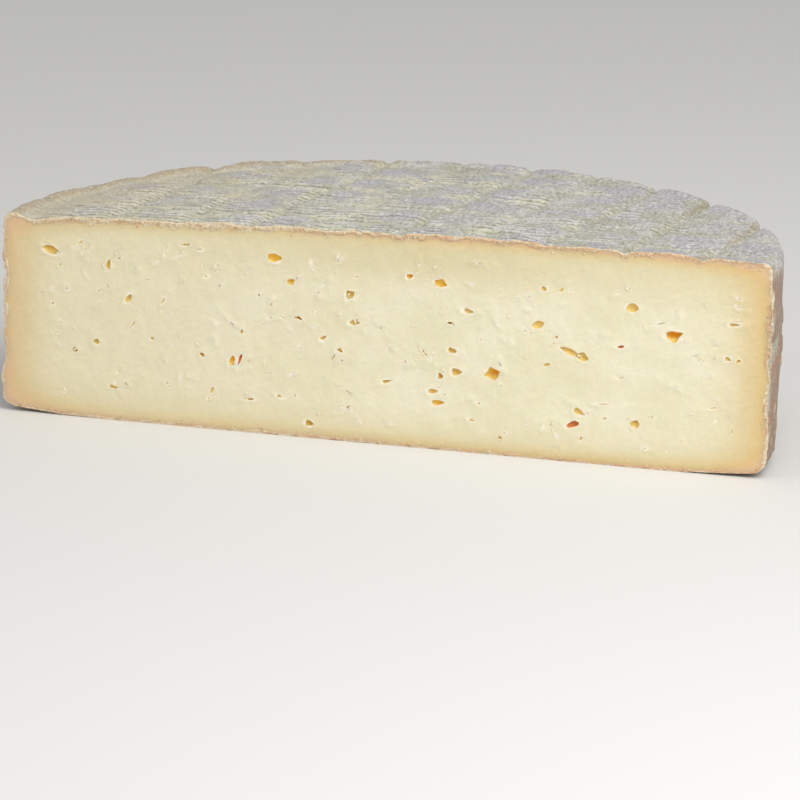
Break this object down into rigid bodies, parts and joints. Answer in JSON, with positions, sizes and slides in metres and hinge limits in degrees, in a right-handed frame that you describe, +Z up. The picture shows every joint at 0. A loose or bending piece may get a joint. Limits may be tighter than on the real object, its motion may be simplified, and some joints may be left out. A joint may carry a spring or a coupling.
{
  "type": "tomme half wheel",
  "caption": "Half of a pressed round cheese, cut straight through the middle, with a downy grey rind, a quilted top, a low rim and open eyes in an ivory paste.",
  "frame": {"origin": "middle of the half wheel's box, on the surface it rests on", "axes": "+X along the cut face, from left to right as seen from in front of it; +Y from the cut face into the wheel; +Z up"},
  "size_m": [0.2, 0.1, 0.0557],
  "materials": {
    "paste": "moist, waxy, ivory yellow",
    "rind": "dry, downy, mottled grey, lilac, cream and tan mould"
  },
  "bodies": {
    "root": {"half_wheel": "paste"}
  },
  "joints": []
}
